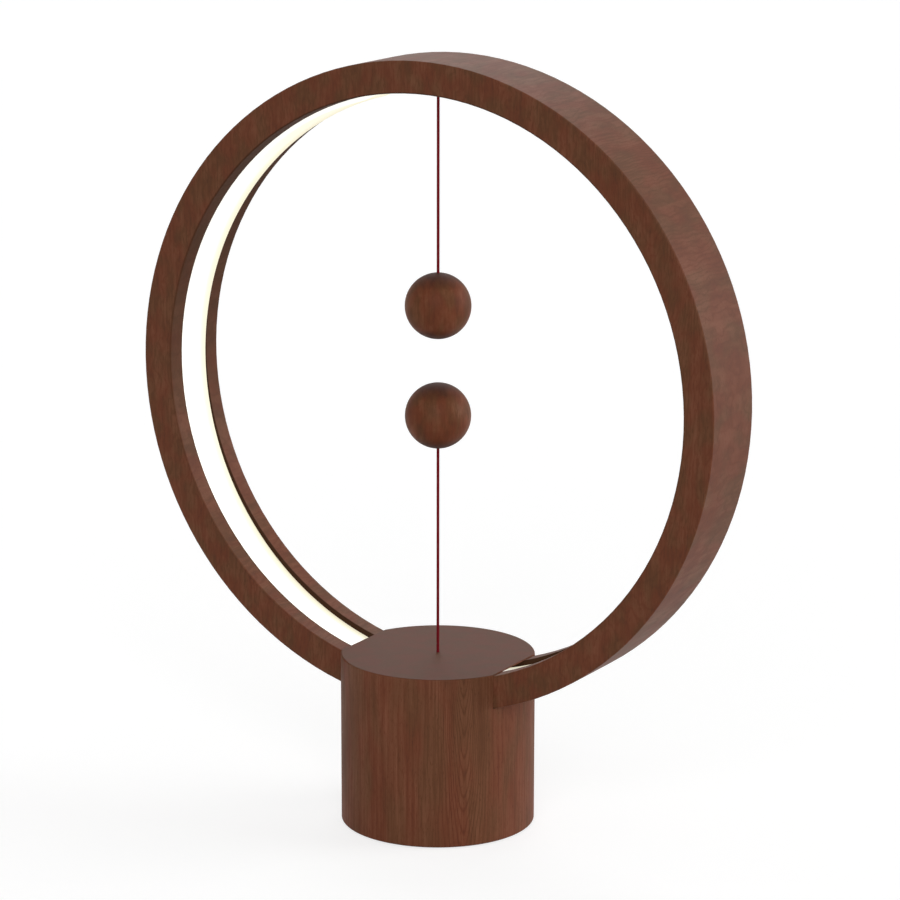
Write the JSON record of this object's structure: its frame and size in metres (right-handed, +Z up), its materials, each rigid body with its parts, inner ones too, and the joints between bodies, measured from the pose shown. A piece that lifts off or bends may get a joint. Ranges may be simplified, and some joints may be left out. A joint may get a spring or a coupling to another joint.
{
  "type": "magnetic balance lamp",
  "caption": "Upright wooden light hoop on a round wooden base, with two magnetic balls on cords inside it; lifting the lower ball to the upper one switches the light on.",
  "frame": {"origin": "centre of the foot pad's underside, on the table", "axes": "+Z up through the two balls, +X to the right in the hoop's plane, +Y to the back, where the power socket is"},
  "size_m": [0.334, 0.101, 0.4],
  "materials": {
    "stained_wood": "satin, dark brown stain",
    "opal_acrylic": "opal white, lit from behind",
    "clear_nylon": "natural",
    "white_circuit": "white solder mask",
    "led_package": "phosphor",
    "lead_insulation": "white PVC",
    "red_cord": "braided, dark red",
    "brass": "turned",
    "zinc_screw": "zinc plated",
    "foot_rubber": "matte",
    "painted_steel": "black powder coat",
    "raw_steel": "turned",
    "black_plastic": "moulded",
    "white_plastic": "acetal",
    "contact_metal": "plated",
    "spring_steel": "drawn wire",
    "green_circuit": "solder mask",
    "component_black": "moulded",
    "socket_steel": "drawn",
    "nickel_magnet": "nickel plated"
  },
  "bodies": {
    "stand": {"hoop": "stained_wood", "base_shell": "stained_wood", "top_cap": "stained_wood", "light_diffuser": "opal_acrylic", "diffuser_bush": "clear_nylon", "light_strip": "white_circuit", "light_strip_leds": "led_package", "light_leads": "lead_insulation", "upper_cord_anchor": "brass", "upper_cord_stub": "red_cord", "cord_guide": "brass", "cap_screws": "zinc_screw", "hoop_screws": "zinc_screw", "switch_screws": "zinc_screw", "floor_screws": "zinc_screw", "weight_screws": "zinc_screw", "board_screws": "zinc_screw", "foot_pad": "foot_rubber", "floor_plate": "painted_steel", "counterweight": "raw_steel", "switch_housing": "black_plastic", "switch_terminal_plate": "black_plastic", "switch_contacts": "contact_metal", "return_spring": "spring_steel", "board_standoffs": "brass", "driver_board": "green_circuit", "board_components": "component_black", "inlet_board": "green_circuit", "inlet_bracket": "black_plastic", "power_inlet": "socket_steel", "inlet_core": "component_black", "header_pins": "contact_metal", "header_block": "component_black"},
    "plunger": {"switch_plunger": "white_plastic", "contact_bridge": "contact_metal", "pull_cord": "red_cord", "pull_cord_knot": "red_cord"},
    "lower_bend": {"lower_cord_bend": "red_cord"},
    "lower_pendulum": {"lower_cord": "red_cord", "lower_ball": "stained_wood", "lower_magnet": "nickel_magnet", "lower_ball_plug": "stained_wood", "lower_cord_knot": "red_cord"},
    "upper_bend": {"upper_cord_bend": "red_cord"},
    "upper_pendulum": {"upper_cord": "red_cord", "upper_ball": "stained_wood", "upper_magnet": "nickel_magnet", "upper_ball_plug": "stained_wood", "upper_cord_knot": "red_cord"}
  },
  "joints": [
    {"name": "pull_switch", "type": "slide", "parent": "stand", "child": "plunger", "axis": [0, 0, 1], "range_m": [-0.004, 0], "stiffness_N_per_m": 150, "springref_m": 0.01, "deforming": ["return_spring"]},
    {"name": "lower_ball_swing_depth", "type": "hinge", "parent": "plunger", "child": "lower_bend", "pos_m": [0, 0, 0.0952], "axis": [1, 0, 0], "range_deg": [-85, 85], "stiffness_Nm_per_rad": 0.1},
    {"name": "lower_ball_swing_side", "type": "hinge", "parent": "lower_bend", "child": "lower_pendulum", "pos_m": [0, 0, 0.0952], "axis": [0, 1, 0], "range_deg": [-60, 60], "stiffness_Nm_per_rad": 0.1},
    {"name": "upper_ball_swing_depth", "type": "hinge", "parent": "stand", "child": "upper_bend", "pos_m": [0, 0, 0.38525], "axis": [1, 0, 0], "range_deg": [-60, 60]},
    {"name": "upper_ball_swing_side", "type": "hinge", "parent": "upper_bend", "child": "upper_pendulum", "pos_m": [0, 0, 0.38525], "axis": [0, 1, 0], "range_deg": [-58, 58]}
  ]
}
